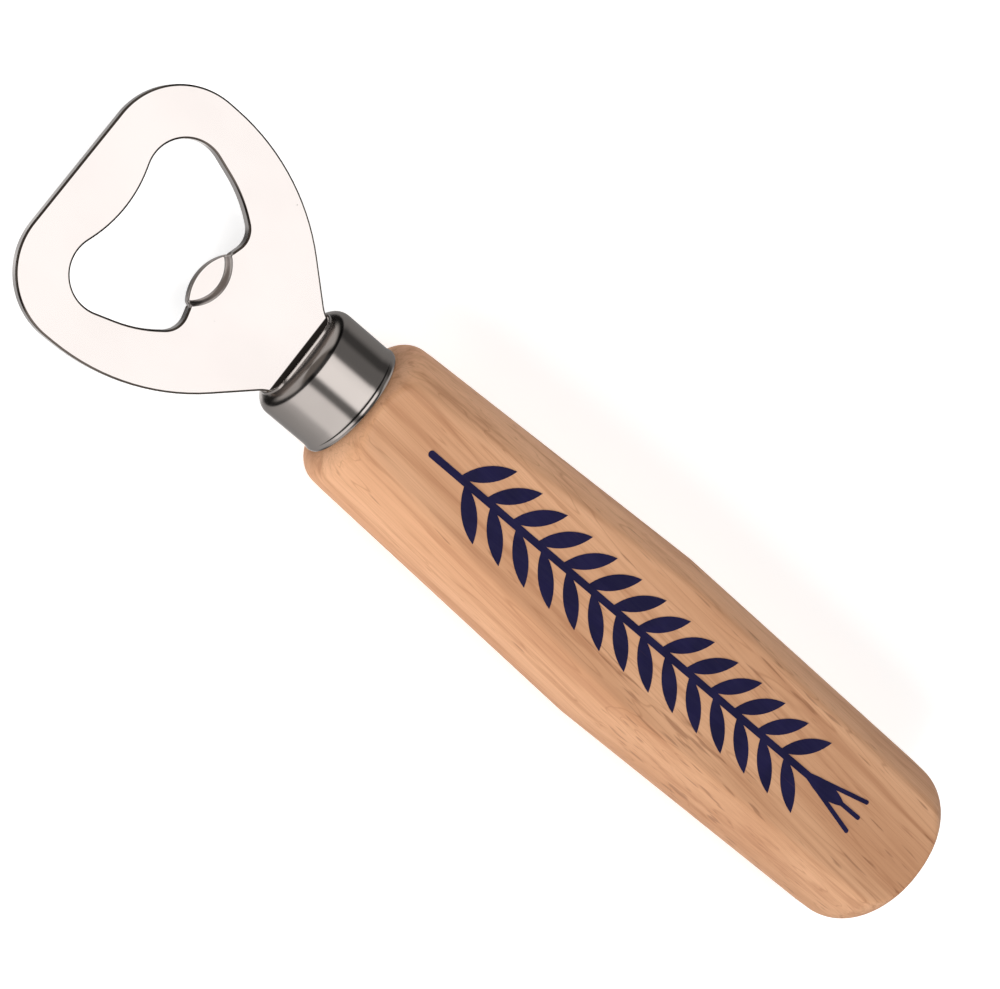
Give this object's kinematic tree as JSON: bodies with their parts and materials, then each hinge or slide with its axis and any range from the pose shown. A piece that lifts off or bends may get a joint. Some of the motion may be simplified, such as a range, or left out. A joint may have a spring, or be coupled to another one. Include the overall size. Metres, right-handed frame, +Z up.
{
  "type": "bottle opener",
  "caption": "Hand bottle opener with a flat stamped steel head and pressed tongue, a steel ferrule, and a turned wooden handle with milled flats.",
  "frame": {"origin": "under the middle of the object, on the surface that it lies on", "axes": "+X along the length towards the head, +Y across the head, +Z up out of the printed flat"},
  "size_m": [0.1696, 0.042, 0.0221],
  "materials": {
    "plate_steel": "polished, with faint hairlines",
    "ferrule_steel": "polished",
    "handle_wood": "sanded smooth, thin satin oil",
    "dark_resin": "hardened, dull",
    "print_ink": "matte pad print"
  },
  "bodies": {
    "root": {"opener_plate": "plate_steel", "ferrule": "ferrule_steel", "handle": "handle_wood", "tang_glue": "dark_resin", "printed_motif": "print_ink"}
  },
  "joints": []
}
